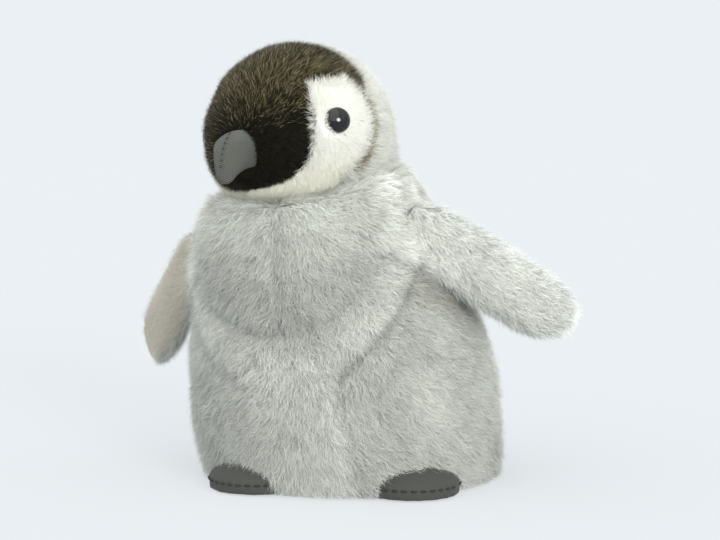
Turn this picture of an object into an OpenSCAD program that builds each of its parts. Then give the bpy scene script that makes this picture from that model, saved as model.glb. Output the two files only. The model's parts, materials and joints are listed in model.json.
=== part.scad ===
// Plush penguin chick: sewn pile-fabric covers over soft stuffing, in millimetres.
// Origin at the centre of the base on the ground, +Z up, the belly faces -Y.
// The cover surfaces stand at the tips of the pile.

/* [Body] */
// Widest radius of the belly
belly_r = 77; // [60:0.5:90]
// Radius of the base at the ground
base_r = 71; // [50:0.5:80]
// Radius at the shoulders
shoulder_r = 63.5; // [50:0.5:75]
// Radius of the collar where the head sits
collar_r = 50.5; // [40:0.5:60]
// Height of the collar seam along the body axis
collar_h = 142; // [120:1:160]
// Thickness of pile and backing together
cover_t = 6; // [4:0.5:8]
// Forward lean of the body
lean_front = 6.2; // [0:0.1:12]
// Sideways lean of the body, towards -X
lean_side = 8.5; // [0:0.1:12]

/* [Head] */
// Radius of the ball-shaped head
head_r = 46.5; // [40:0.5:55]
// Height of the head centre along the body axis
head_h = 165.5; // [155:0.5:180]
// Rest turn of the head, towards -X
head_turn = 20; // [0:1:30]
// Diameter of the eyes
eye_d = 12; // [8:0.5:16]
// Direction of each eye, round from the beak
eye_round = 66; // [40:1:70]
// Direction of each eye, up from the middle of the head
eye_up = 9; // [0:1:30]

/* [Beak] */
// Length of the beak beyond the face
beak_out = 14; // [12:0.5:28]
// Width of the beak at the face
beak_w = 18; // [12:0.5:24]
// Thickness of the beak cloth
beak_t = 1.2; // [0.8:0.1:2]

/* [Flippers] */
// Length of each flipper from the shoulder seam
flipper_len = 98; // [70:1:120]
// Width of each flipper
flipper_w = 35; // [24:1:44]
// Thickness of each flipper at the middle
flipper_t = 18; // [10:0.5:24]
// Droop of the left flipper below level
left_droop = 34; // [0:1:80]
// Droop of the right flipper below level
right_droop = 42; // [0:1:80]
// Backward sweep of the left flipper
left_sweep = 18; // [0:1:60]
// Backward sweep of the right flipper
right_sweep = 42; // [0:1:60]

/* [Feet] */
// Width of each foot
foot_w = 46; // [30:1:56]
// Length of each foot
foot_len = 48; // [30:1:60]
// Height of each foot at the middle
foot_h = 15; // [8:0.5:20]
// Direction of the left foot, round from the front
left_foot_round = 44; // [10:1:60]
// Direction of the right foot, round from the front
right_foot_round = 29; // [10:1:60]
// Distance of each foot tip from the body axis
foot_reach = 84; // [70:1:95]

/* [Hidden] */
$fn = 96;

gap = 0.4;             // clearance between pieces that move past each other
big = 400;             // larger than the whole toy
sole_t = 1.5;          // sole and base cloth
thread_d = 0.9;        // sewing thread
pivot_h = 15;          // height on the axis about which the body leans
head_in_r = head_r - cover_t;

pile_grey = [0.76, 0.77, 0.74];
pile_bib = [0.72, 0.73, 0.70];
pile_hood = [0.85, 0.86, 0.83];
pile_white = [0.92, 0.93, 0.88];
pile_dark = [0.20, 0.18, 0.12];
pile_beige = [0.66, 0.63, 0.58];
twill_grey = [0.35, 0.35, 0.33];
fibre_white = [0.95, 0.95, 0.93];

// ---------------------------------------------------------------- frames

// The body axis: leaning, with the ground point below the pivot kept in place.
module lean() {
    translate([0, 0, pivot_h])
        rotate([0, -lean_side, 0])
            rotate([lean_front, 0, 0])
                translate([0, 0, -pivot_h])
                    children();
}

// The head frame: origin at the head centre, beak towards -Y.
module head() {
    lean()
        translate([0, 0, head_h])
            rotate([0, 0, -head_turn])
                children();
}

// Everything above a level height.
module above(z) {
    translate([-big / 2, -big / 2, z])
        cube(big);
}

// A wedge about the body axis, from one direction to another, counted from the front.
module wedge(from, to) {
    steps = 6;
    linear_extrude(big, center = true)
        polygon(concat([[0, 0]], [for (i = [0 : steps])
            let (a = from + (to - from) * i / steps) [big * sin(a), -big * cos(a)]]));
}

// ---------------------------------------------------------------- torso

// Radius and height stations of the torso outline, bottom to top.
stations = [
    [base_r, -16],
    [base_r + 3, 0],
    [belly_r - 1.5, 14],
    [belly_r, 34],
    [belly_r - 1.5, 52],
    [(belly_r + shoulder_r) / 2 + 1, 76],
    [shoulder_r + 1, 106],
    [(shoulder_r + collar_r) / 2 + 1, 128],
    [collar_r, collar_h],
    [collar_r - 9, collar_h + 8],
];

// Smooth curve through four neighbouring stations.
function spline(a, b, c, d, t) =
    0.5 * (2 * b + (c - a) * t + (2 * a - 5 * b + 4 * c - d) * t * t
        + (3 * b - a - 3 * c + d) * t * t * t);

function outline(inset) = [
    for (i = [1 : len(stations) - 3], k = [0 : 3])
        spline(stations[i - 1], stations[i], stations[i + 1], stations[i + 2], k / 4)
            - [inset, 0]
];

module torso_solid(inset, bottom) {
    points = outline(inset);
    top = stations[len(stations) - 2];
    intersection() {
        lean()
            rotate_extrude()
                polygon(concat([[0, -30], [base_r - inset - 4, -30]], points,
                    [[top[0] - inset, top[1]], [0, top[1]]]));
        above(bottom);
    }
}

module socket() {
    lean()
        translate([0, 0, head_h])
            sphere(head_r + gap);
}

// The same socket in the cover, pulled flat in runs like the head cover that turns in it.
module cover_socket() {
    lean()
        translate([0, 0, head_h])
            turned_ball(head_r + gap);
}

module torso_cover() {
    difference() {
        torso_solid(0, sole_t);
        torso_solid(cover_t, sole_t - 1);
        cover_socket();
        closing_seam_solid();
        foot_pockets();
        flipper_pockets();
    }
}

// Tilted seams over the belly: below this one at the bib edge, or at the belly seam.
bib_seam_h = 73.5;
belly_seam_h = 50;
seam_tilt = 46;
module over_seam(front_h) {
    lean()
        translate([0, -belly_r, front_h])
            rotate([seam_tilt, 0, 0])
                translate([-big / 2, -big / 2, 0])
                    cube(big);
}

belly_half_angle = 17;
side_to_angle = 100;

module belly_zone() {
    difference() {
        union() {
            over_seam(belly_seam_h);
            lean() wedge(-belly_half_angle, belly_half_angle);
        }
        over_seam(bib_seam_h);
        lean() wedge(side_to_angle, 360 - side_to_angle);
    }
}

module bib_zone() {
    difference() {
        over_seam(bib_seam_h);
        lean() wedge(side_to_angle, 360 - side_to_angle);
    }
}

module belly_panel() {
    color(pile_grey)
        intersection() {
            torso_cover();
            belly_zone();
        }
}

module bib_panel(side) {
    color(pile_bib)
        intersection() {
            torso_cover();
            bib_zone();
            lean() half(side);
        }
}

module side_panel(side) {
    color(pile_grey)
        difference() {
            intersection() {
                torso_cover();
                lean() half(side);
                lean() wedge(-side_to_angle, side_to_angle);
            }
            over_seam(belly_seam_h);
            lean() wedge(-belly_half_angle, belly_half_angle);
        }
}

module back_panel(side) {
    color(pile_hood)
        intersection() {
            torso_cover();
            lean() half(side);
            lean() wedge(side_to_angle, 360 - side_to_angle);
        }
}

// One half of space: side +1 is the penguin's left (+X), -1 its right.
module half(side) {
    translate([side * big / 2, 0, 0])
        cube(big, center = true);
}

module base_panel() {
    color(pile_grey)
        difference() {
            torso_solid(0, 0);
            above(sole_t);
            foot_pockets();
        }
}

bag_r = 33;
bag_h = 26;
bag_z = sole_t + 6;
module bag_solid(inset) {
    translate([0, 0, bag_z])
        intersection() {
            translate([0, 0, bag_h / 2])
                sphere(bag_r - inset);
            translate([0, 0, inset])
                cylinder(r = bag_r, h = bag_h - 2 * inset);
        }
}

module pellet_bag() {
    color(fibre_white)
        difference() {
            bag_solid(0);
            bag_solid(1);
        }
}

module pellets() {
    color(twill_grey)
        bag_solid(1);
}

seam_z = 60;
seam_run = 40;
module closing_seam_solid() {
    lean()
        translate([0, belly_r - cover_t + thread_d / 2 - 1, seam_z])
            cylinder(d = thread_d, h = seam_run, center = true);
}

module closing_seam() {
    color(fibre_white)
        closing_seam_solid();
}

module body_stuffing() {
    color(fibre_white)
        difference() {
            torso_solid(cover_t, sole_t);
            socket();
            bag_solid(0);
            closing_seam_solid();
            foot_pockets();
            flipper_pockets();
        }
}

// ---------------------------------------------------------------- neck

neck_half_angle = 22;
neck_t = 5.5;
module neck_stuffing() {
    reach = head_r * cos(neck_half_angle);
    color(fibre_white)
        lean()
            translate([0, 0, head_h])
                difference() {
                    intersection() {
                        sphere(head_r);
                        translate([0, 0, -head_r - 1])
                            cylinder(r = head_r * sin(neck_half_angle), h = head_r);
                    }
                    sphere(head_r - neck_t);
                    translate([-big / 2, -big / 2, -reach + neck_t])
                        cube(big);
                }
}

// ---------------------------------------------------------------- head

// Below this the head cover is open, where the neck stuffing enters.
opening_half_angle = 47;
mask_r = 33.5;           // dark face, seen from the front
mask_z = 12.5;
cheek_r = 28;          // white cheek, seen from the side
cheek_y = -24;
cheek_z = 8;
cheek_top = 27.5;
crown_back = 8;      // how far behind the middle the crown reaches
crown_low = 13;        // lowest point of the crown beside the cheek

// A ball turned from short straight runs, as panels of cloth pull it flat between seams.
module turned_ball(r) {
    runs = 24;
    rotate_extrude()
        polygon([for (i = [0 : runs]) let (a = 180 * i / runs) [r * sin(a), -r * cos(a)]]);
}

module head_shell() {
    difference() {
        turned_ball(head_r);
        turned_ball(head_in_r);
        translate([-big / 2, -big / 2, -big - head_r * cos(opening_half_angle)])
            cube(big);
    }
}

module mask_zone() {
    translate([0, 0, mask_z])
        rotate([90, 0, 0])
            cylinder(r = mask_r, h = big);
}

// Seen from the side, round at the back and straight towards the beak.
module cheek_reach(side) {
    past_middle = 2;
    front_y = cheek_y - 6;
    front_z = cheek_z - cheek_r + 1.5;
    intersection() {
        union() {
            translate([-side * past_middle, cheek_y, cheek_z])
                rotate([0, side * 90, 0])
                    cylinder(r = cheek_r, h = big);
            translate([side > 0 ? -past_middle : past_middle - big, front_y - big, front_z])
                cube(big);
        }
        translate([-big / 2, -big / 2, cheek_top - big])
            cube(big);
    }
}

module crown_panel() {
    color(pile_dark)
        head()
            difference() {
                head_shell();
                difference() {
                    cheek_reach(1);
                    mask_zone();
                }
                difference() {
                    cheek_reach(-1);
                    mask_zone();
                }
                translate([-big / 2, crown_back, -big / 2])
                    cube(big);
                difference() {
                    translate([-big / 2, -big + crown_back + 1, crown_low - big])
                        cube(big);
                    mask_zone();
                }
                beak_solid(0);
            }
}

module cheek_panel(side) {
    color(pile_white)
        head()
            difference() {
                intersection() {
                    head_shell();
                    cheek_reach(side);
                    half(side);
                }
                mask_zone();
                eye_place(side) eye_shape(0);
            }
}

module hood_panel(side) {
    color(pile_hood)
        head()
            difference() {
                intersection() {
                    head_shell();
                    half(side);
                }
                mask_zone();
                cheek_reach(side);
                translate([-big / 2, crown_back - big, crown_low])
                    cube(big);
            }
}

module head_stuffing() {
    color(fibre_white)
        head()
            difference() {
                sphere(head_in_r - gap / 2);
                for (side = [-1, 1])
                    eye_place(side) eye_hole();
                beak_solid(0);
            }
}

// ---------------------------------------------------------------- eyes

stem_d = 4;
washer_d = 14;
washer_t = 1.5;
washer_in = cover_t + 1;
eye_sink = 2.5;        // how deep the eye sits in the pile
module eye_place(side) {
    rotate([0, 0, side * eye_round])
        rotate([90 - eye_up, 0, 0])
            translate([0, 0, head_r])
                children();
}

// A low dome on a stem that runs through the cover to its washer.
module eye_shape(extra) {
    dome_r = eye_d * 0.54;
    translate([0, 0, -eye_sink])
        intersection() {
            translate([0, 0, eye_d * 0.36 - dome_r])
                sphere(dome_r + extra);
            translate([0, 0, -1 - extra])
                cylinder(d = eye_d + 2 * extra, h = eye_d);
        }
    translate([0, 0, -washer_in - washer_t - 2 - extra])
        cylinder(d = stem_d + 2 * extra, h = washer_in + washer_t + 2 - eye_sink);
}

module washer_shape(extra) {
    translate([0, 0, -washer_in - washer_t - extra])
        cylinder(d = washer_d + 2 * extra, h = washer_t + 2 * extra);
}

module eye_hole() {
    eye_shape(0);
    washer_shape(0);
}

module eye(side) {
    color([0.02, 0.02, 0.02])
        head()
            eye_place(side) eye_shape(0);
}

module eye_washer(side) {
    color([0.9, 0.9, 0.9])
        head()
            eye_place(side)
                difference() {
                    washer_shape(0);
                    eye_shape(0);
                }
}

// ---------------------------------------------------------------- beak

beak_root = 9;         // how far the beak starts inside the face
beak_top = 10;
beak_low = -13;
module beak_solid(inset) {
    tip_y = -head_r - beak_out + inset;
    root_y = -head_r + beak_root;
    // The ridge falls in a curve to the hooked tip, and the under edge rises behind it.
    side_points = [
        [root_y, beak_top - inset],
        [tip_y + 14, beak_top - 0.3 - inset],
        [tip_y + 11, beak_top - 1.6 - inset],
        [tip_y + 8, beak_top - 3.9 - inset],
        [tip_y + 5.2, beak_top - 7 - inset],
        [tip_y + 2.8, beak_top - 10.8],
        [tip_y + 1.2, beak_top - 14.6],
        [tip_y + 0.5, beak_top - 18.4],
        [tip_y + 1.1, beak_low + 1.6 + inset],
        [tip_y + 2.6, beak_low + inset],
        [tip_y + 5, beak_low + 1.5 + inset],
        [tip_y + 8, beak_low + 3.9 + inset],
        [tip_y + 12, beak_low + 5.4 + inset],
        [root_y, beak_low + 5.8 + inset],
    ];
    half_w = beak_w / 2 - inset;
    top_shape = [[root_y, 1], [tip_y + 14, 1], [tip_y + 11, 0.94], [tip_y + 8, 0.82],
        [tip_y + 5.2, 0.62], [tip_y + 2.6, 0.42], [tip_y + 0.8, 0.22], [tip_y, 0.1]];
    front_shape = [[beak_top + 1, 0.1], [beak_top - 0.6, 0.45], [beak_top - 2.6, 0.74],
        [beak_top - 5.5, 0.94], [beak_top - 9, 1], [beak_top - 13, 0.92],
        [beak_top - 17, 0.74], [beak_low + 2, 0.5], [beak_low - 1, 0.34]];
    intersection() {
        translate([-big / 2, 0, 0])
            rotate([90, 0, 90])
                linear_extrude(big)
                    polygon(side_points);
        translate([0, 0, -big / 2])
            linear_extrude(big)
                polygon(both_sides([for (p = top_shape) [p[1] * half_w, p[0]]]));
        rotate([90, 0, 0])
            linear_extrude(big)
                polygon(both_sides([for (p = front_shape) [p[1] * half_w, p[0]]]));
    }
}

// An outline from its right half, listed from one end to the other.
function both_sides(half) = concat(half,
    [for (i = [len(half) - 1 : -1 : 0]) [-half[i][0], half[i][1]]]);

beak_under_z = beak_low + 5;
module beak_cover() {
    difference() {
        beak_solid(0);
        beak_solid(beak_t);
    }
}

module beak_panel(side) {
    color(twill_grey)
        head()
            intersection() {
                beak_cover();
                half(side);
                above(beak_under_z);
            }
}

module beak_under_panel() {
    color(twill_grey)
        head()
            difference() {
                beak_cover();
                above(beak_under_z);
            }
}

module beak_stuffing() {
    color(fibre_white)
        head()
            beak_solid(beak_t);
}

// ---------------------------------------------------------------- flippers

shoulder_h = 123;      // height of each shoulder seam along the body axis
shoulder_round = 65;   // direction of each shoulder, round from the front
shoulder_in = 9;       // how far the flipper stub starts inside the body
flipper_raise = 30;    // swing of each flipper up from rest
left_lower = 12;       // swing of the left flipper down from rest
right_lower = 12;      // swing of the right flipper down from rest

// Flipper frame: X runs from the shoulder to the tip, Y is its width, Z its front face.
module flipper_place(side) {
    droop = side > 0 ? left_droop : right_droop;
    sweep = side > 0 ? left_sweep : right_sweep;
    reach = shoulder_r - shoulder_in;
    lean()
        translate([side * reach * sin(shoulder_round), -reach * cos(shoulder_round), shoulder_h])
            rotate([0, lean_side, 0])
                mirror([side > 0 ? 0 : 1, 0, 0])
                    rotate([0, 0, sweep])
                        rotate([90, 0, 0])
                            rotate([0, 0, -droop])
                                children();
}

module flipper_outline(inset) {
    half_w = flipper_w / 2 - inset;
    tip_r = flipper_w * 0.4 - inset;
    points = [
        [0, -half_w * 0.72],
        [16, -half_w * 0.92],
        [flipper_len * 0.45, -half_w],
        [flipper_len * 0.75, -half_w * 0.96],
        [flipper_len - tip_r - inset, -tip_r],
        [flipper_len - tip_r - inset, tip_r],
        [flipper_len * 0.75, half_w * 0.9],
        [flipper_len * 0.45, half_w * 0.96],
        [16, half_w * 0.92],
        [0, half_w * 0.72],
    ];
    polygon(points);
    translate([flipper_len - tip_r - inset, 0])
        circle(tip_r);
}

// A paddle that is thick in the middle and thin at the sewn edges and tip.
module flipper_solid(inset) {
    half_t = flipper_t / 2 - inset;
    half_w = flipper_w / 2 + 3;
    intersection() {
        translate([0, 0, -big / 2])
            linear_extrude(big)
                flipper_outline(inset);
        intersection_for(face = [0, 1])
            mirror([0, 0, face])
                face_round(half_t, half_w, 0, 0);
        intersection_for(face = [0, 1])
            mirror([0, 0, face])
                face_round(half_t, flipper_len * 0.62, 90, flipper_len * 0.45);
    }
}

// One large cylinder whose back is half_t out and that meets the middle at half_span.
module face_round(half_t, half_span, turn, along) {
    r = (half_span * half_span + half_t * half_t) / (2 * half_t);
    translate([along, 0, half_t - r])
        rotate([0, 0, turn])
            rotate([0, 90, 0])
                cylinder(r = r, h = big, center = true, $fn = 480);
}

flipper_cover_t = 3;
module flipper_cover() {
    difference() {
        flipper_solid(0);
        flipper_solid(flipper_cover_t);
    }
}

// The left flipper is twisted to show its outer face in front, the right one its inner face.
module flipper_face(side, outer) {
    in_front = (side > 0) == outer;
    color(outer ? pile_hood : pile_beige)
        flipper_place(side)
            intersection() {
                flipper_cover();
                translate([-big / 2, -big / 2, in_front ? 0 : -big])
                    cube(big);
            }
}

module flipper_stuffing(side) {
    color(fibre_white)
        flipper_place(side)
            flipper_solid(flipper_cover_t);
}

// Room in the shoulder for the flipper stub over its whole swing.
pocket_reach = 86;
module flipper_pockets() {
    for (side = [-1, 1])
        flipper_place(side)
            linear_extrude(flipper_t + 2 * gap + 0.4, center = true)
                intersection() {
                    for (swing = [-(side > 0 ? left_lower : right_lower) : 6 : flipper_raise])
                        rotate(swing)
                            offset_outline();
                    circle(pocket_reach);
                }
}

module offset_outline() {
    flipper_outline(-2 * gap);
    translate([-2 * gap, -flipper_w * 0.36 - 2 * gap])
        square([4, flipper_w * 0.72 + 4 * gap]);
}

// ---------------------------------------------------------------- feet

foot_lift = 12;        // how far the toes lift
module foot_place(side) {
    rotate([0, 0, side > 0 ? left_foot_round : -right_foot_round])
        translate([0, -foot_reach + foot_len / 2, 0])
            children();
}

module foot_outline(inset) {
    r = foot_w / 2 - inset;
    run = (foot_len - foot_w) / 2;
    for (end = [-1, 1])
        translate([0, end * run])
            circle(r);
    square([2 * r, 2 * run], center = true);
}

// A cushion with a flat sole and a domed top.
module foot_solid(inset) {
    rim = 4;
    rise = foot_h - rim;
    span = foot_len / 2 + 2;
    dome_r = (span * span + rise * rise) / (2 * rise);
    intersection() {
        translate([0, 0, inset])
            linear_extrude(foot_h)
                foot_outline(inset);
        translate([0, 0, foot_h - dome_r])
            sphere(dome_r - inset);
    }
}

foot_cloth_t = 1.5;
module foot_cover() {
    difference() {
        foot_solid(0);
        foot_solid(foot_cloth_t);
    }
}

module foot_upper(side) {
    color(twill_grey)
        foot_place(side)
            difference() {
                intersection() {
                    foot_cover();
                    above(foot_cloth_t);
                }
                foot_seam_ring();
            }
}

module foot_sole(side) {
    color(twill_grey)
        foot_place(side)
            difference() {
                foot_cover();
                above(foot_cloth_t);
            }
}

module foot_stuffing(side) {
    color(fibre_white)
        foot_place(side)
            foot_solid(foot_cloth_t);
}

// Row of stitches round the upper, just above the sole.
seam_up = 4;
stitch_in = 0.15;      // how deep the thread lies in the cloth
module foot_seam_ring() {
    r = foot_w / 2;
    run = (foot_len - foot_w) / 2;
    for (end = [-1, 1])
        translate([0, end * run, seam_up])
            intersection() {
                rotate_extrude()
                    translate([r - stitch_in, 0])
                        circle(d = thread_d);
                translate([-big / 2, end > 0 ? 0 : -big, -big / 2])
                    cube(big);
            }
    for (side = [-1, 1])
        translate([side * (r - stitch_in), 0, seam_up])
            rotate([90, 0, 0])
                cylinder(d = thread_d, h = 2 * run, center = true);
}

module foot_seam(side) {
    color([0.12, 0.12, 0.12])
        foot_place(side)
            foot_seam_ring();
}

// Room under the body for the feet over their whole lift, about the heel.
foot_room = 1;
module foot_pockets() {
    for (side = [-1, 1])
        foot_place(side) {
            for (lift = [0 : 6 : foot_lift + 6])
                translate([0, foot_len / 2, foot_h])
                    rotate([-lift, 0, 0])
                        translate([0, -foot_len / 2, -foot_h])
                            foot_solid(-foot_room);
            translate([0, 0, -1])
                linear_extrude(foot_h * 0.4)
                    foot_outline(-foot_room);
        }
}

// ---------------------------------------------------------------- nodes

base_panel();
belly_panel();
bib_panel(1);  // bib_left_panel
bib_panel(-1);  // bib_right_panel
side_panel(1);  // left_side_panel
side_panel(-1);  // right_side_panel
back_panel(1);  // left_back_panel
back_panel(-1);  // right_back_panel
body_stuffing();
pellet_bag();
pellets();
closing_seam();
neck_stuffing();
crown_panel();
cheek_panel(1);  // left_cheek_panel
cheek_panel(-1);  // right_cheek_panel
hood_panel(1);  // left_hood_panel
hood_panel(-1);  // right_hood_panel
head_stuffing();
eye(1);  // left_eye
eye(-1);  // right_eye
eye_washer(1);  // left_eye_washer
eye_washer(-1);  // right_eye_washer
beak_panel(1);  // beak_left_panel
beak_panel(-1);  // beak_right_panel
beak_under_panel();
beak_stuffing();
flipper_face(1, true);  // left_flipper_outer
flipper_face(1, false);  // left_flipper_inner
flipper_stuffing(1);  // left_flipper_stuffing
flipper_face(-1, true);  // right_flipper_outer
flipper_face(-1, false);  // right_flipper_inner
flipper_stuffing(-1);  // right_flipper_stuffing
foot_upper(1);  // left_foot_upper
foot_sole(1);  // left_foot_sole
foot_stuffing(1);  // left_foot_stuffing
foot_seam(1);  // left_foot_seam
foot_upper(-1);  // right_foot_upper
foot_sole(-1);  // right_foot_sole
foot_stuffing(-1);  // right_foot_stuffing
foot_seam(-1);  // right_foot_seam
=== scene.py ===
"""Looks of a plush penguin chick: sewn pile skins, mesh fur, twill beak and feet, glossy eyes.

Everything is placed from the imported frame: its joints, its nodes and their boxes.
Lengths are metres. HEAD space has its origin at the head's centre, the beak along -Y and +Z up.
"""
import itertools
import json
import math

import bmesh
import bpy
import numpy as np
from mathutils import Matrix, Vector


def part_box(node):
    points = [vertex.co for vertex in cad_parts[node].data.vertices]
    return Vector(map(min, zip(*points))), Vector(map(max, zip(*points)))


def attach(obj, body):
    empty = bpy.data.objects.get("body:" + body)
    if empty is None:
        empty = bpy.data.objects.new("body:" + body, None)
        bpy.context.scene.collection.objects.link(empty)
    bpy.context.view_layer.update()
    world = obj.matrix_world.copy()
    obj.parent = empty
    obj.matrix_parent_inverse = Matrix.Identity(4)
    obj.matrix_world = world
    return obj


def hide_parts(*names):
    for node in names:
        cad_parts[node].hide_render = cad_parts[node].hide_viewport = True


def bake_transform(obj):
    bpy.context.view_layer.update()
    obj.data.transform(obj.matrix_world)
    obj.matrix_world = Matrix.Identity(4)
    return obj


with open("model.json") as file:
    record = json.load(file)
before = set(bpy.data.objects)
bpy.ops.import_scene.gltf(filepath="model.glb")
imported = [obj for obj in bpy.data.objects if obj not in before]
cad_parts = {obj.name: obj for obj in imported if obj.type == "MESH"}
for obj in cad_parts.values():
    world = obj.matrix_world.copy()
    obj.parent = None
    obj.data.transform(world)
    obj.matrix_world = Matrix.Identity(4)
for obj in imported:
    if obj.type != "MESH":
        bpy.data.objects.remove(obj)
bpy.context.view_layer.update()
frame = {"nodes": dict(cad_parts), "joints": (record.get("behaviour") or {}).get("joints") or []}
MM = 0.001
SIDES = ("left", "right")


# ---- frame

def unit(v):
    v = np.asarray(v, float)
    return v / np.maximum(np.linalg.norm(v, axis=-1, keepdims=True), 1e-12)


def vertices(obj):
    co = np.empty(len(obj.data.vertices) * 3)
    obj.data.vertices.foreach_get("co", co)
    return co.reshape(-1, 3)


def norm(rows):
    """The length of each row."""
    return np.linalg.norm(rows, axis=1)


def node_points(*names):
    """Vertices of CAD nodes, in the row frame."""
    return np.concatenate([vertices(frame["nodes"][name]) for name in names])


joints = {j["name"]: j for j in frame["joints"]}
head_centre = np.array(joints["head_turn"]["pos_m"])
body_up = unit(joints["head_turn"]["axis"])
head_x = unit(joints["head_nod"]["axis"])
head_y = np.cross(body_up, head_x)
HEAD = np.stack([head_x, head_y, body_up], axis=1)
body_back = unit(np.array([0.0, 1.0, 0.0]) - body_up * body_up[1])
body_left = np.cross(body_back, body_up)
BODY = np.stack([body_left, body_back, body_up], axis=1)

hood_cloud = node_points("left_hood_panel", "right_hood_panel")
HEAD_R = float(norm(hood_cloud - head_centre).max())


def to_head(p):
    return (np.asarray(p) - head_centre) @ HEAD


def from_head(p):
    return head_centre + np.asarray(p) @ HEAD.T


def torso_profile():
    """Height along the body axis, counted from the head's centre, and the radius there."""
    local = (node_points("left_back_panel", "right_back_panel") - head_centre) @ BODY
    radius = np.hypot(local[:, 0], local[:, 1])
    step = 4 * MM
    levels = np.arange(local[:, 2].min(), local[:, 2].max() + step, step)
    rows = []
    for low in levels:
        inside = (local[:, 2] >= low) & (local[:, 2] < low + step)
        if inside.any():
            best = np.argmax(np.where(inside, radius, 0))
            rows.append((local[best, 2], radius[best]))
    rows = np.array(rows)
    widest_above = np.maximum.accumulate(rows[::-1, 1])[::-1]
    return rows[rows[:, 1] > 0.9 * widest_above]


PROFILE = torso_profile()
COLLAR = float(PROFILE[:, 0].max())


def torso_radius(level):
    return np.interp(level, PROFILE[:, 0], PROFILE[:, 1])


# ---- meshes

def add_object(name, data):
    obj = bpy.data.objects.new(name, data)
    bpy.context.scene.collection.objects.link(obj)
    return obj


def new_object(name, points, faces, smooth=True):
    mesh = bpy.data.meshes.new(name)
    mesh.from_pydata([tuple(p) for p in points], [], [tuple(f) for f in faces])
    mesh.validate()
    mesh.update()
    if smooth:
        mesh.shade_smooth()
    return add_object(name, mesh)


def tube_faces(rings, around, base=0):
    """Quads between rings of points, and a cap on each end."""
    faces = []
    for ring in range(rings - 1):
        for k in range(around):
            a = base + ring * around + k
            b = base + ring * around + (k + 1) % around
            faces.append((a, b, b + around, a + around))
    faces.append(tuple(base + k for k in reversed(range(around))))
    faces.append(tuple(base + (rings - 1) * around + k for k in range(around)))
    return faces


def set_vertices(obj, co):
    obj.data.vertices.foreach_set("co", np.asarray(co, np.float32).ravel())
    obj.data.update()


def keep_above(obj, floor):
    co = vertices(obj)
    co[:, 2] = np.maximum(co[:, 2], floor)
    set_vertices(obj, co)


def vertex_normals(obj):
    no = np.empty(len(obj.data.vertices) * 3, np.float32)
    obj.data.vertex_normals.foreach_get("vector", no)
    return no.reshape(-1, 3).astype(float)


def apply_modifiers(obj):
    depsgraph = bpy.context.evaluated_depsgraph_get()
    mesh = bpy.data.meshes.new_from_object(obj.evaluated_get(depsgraph))
    obj.modifiers.clear()
    old = obj.data
    obj.data = mesh
    bpy.data.meshes.remove(old)
    mesh.shade_smooth()


def modify(obj, kind, **settings):
    modifier = obj.modifiers.new(kind.lower(), kind)
    for key, value in settings.items():
        setattr(modifier, key, value)
    apply_modifiers(obj)


def solid_copy(name, nodes, voxel, inset, smoothing):
    """A smooth closed skin round some CAD nodes, set in from their surface."""
    work = bmesh.new()
    for node in nodes:
        work.from_mesh(frame["nodes"][node].data)
    mesh = bpy.data.meshes.new(name)
    work.to_mesh(mesh)
    work.free()
    obj = add_object(name, mesh)
    modify(obj, "REMESH", mode="VOXEL", voxel_size=voxel)
    modify(obj, "SMOOTH", factor=0.5, iterations=smoothing)
    set_vertices(obj, vertices(obj) - vertex_normals(obj) * inset)
    return obj


PUFF_FRAMES = 20


def puff(obj, held, cap, pressure):
    """Swells a closed skin like stuffed cloth. held is 1 where a seam keeps it in place."""
    start = vertices(obj)
    group = obj.vertex_groups.new(name="held")
    for level in np.unique(np.round(held, 1)):
        if level > 0:
            picks = np.nonzero(np.round(held, 1) == level)[0].tolist()
            group.add(picks, float(level), "REPLACE")
    cloth = obj.modifiers.new("cloth", "CLOTH")
    settings = dict(quality=5, mass=0.2, tension_stiffness=12, compression_stiffness=12,
                    bending_stiffness=0.4, use_pressure=True, uniform_pressure_force=pressure,
                    vertex_group_mass="held")
    for key, value in settings.items():
        setattr(cloth.settings, key, value)
    cloth.settings.effector_weights.gravity = 0
    cloth.collision_settings.use_collision = False
    scene = bpy.context.scene
    for number in range(1, PUFF_FRAMES + 1):
        scene.frame_set(number)
    apply_modifiers(obj)
    scene.frame_set(1)
    moved = vertices(obj) - start
    length = np.linalg.norm(moved, axis=1, keepdims=True)
    set_vertices(obj, start + moved * np.minimum(1, cap / np.maximum(length, 1e-9)))
    obj.vertex_groups.clear()


def grow(value, width):
    """0 where value is 0 or less, up to 1 at width."""
    return np.clip(value / width, 0, 1)


def fade(value, width):
    """1 where value is 0 or less, down to 0 at width."""
    return np.clip(1 - value / width, 0, 1)


def near(distance, width):
    """1 on a seam, fading to 0 at width on both sides of it."""
    return fade(np.abs(distance), width)


# ---- seams and regions

BIB_H = 73.5 * MM
BELLY_H = 50 * MM
SEAM_TILT = math.radians(46)
BELLY_HALF = math.radians(17)
SIDE_TO = math.radians(100)
SEAM_W = 4 * MM
FAINT = 0.35     # the seams on the penguin's right show less in the photo

head_height = float((head_centre @ BODY)[2])
BELLY_R = float(PROFILE[:, 1].max())


def body_coords(p):
    """Angle from the front, height above the base, radius, and distance behind the axis."""
    local = (np.asarray(p) - head_centre) @ BODY
    angle = np.arctan2(local[:, 0], -local[:, 1])
    return angle, local[:, 2] + head_height, np.hypot(local[:, 0], local[:, 1]), local[:, 1]


def over_seam(height, y, front_height):
    """Distance above a tilted seam, negative below it."""
    climb = (y + BELLY_R) * math.tan(SEAM_TILT)
    return (height - front_height - climb) * math.cos(SEAM_TILT)


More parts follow.
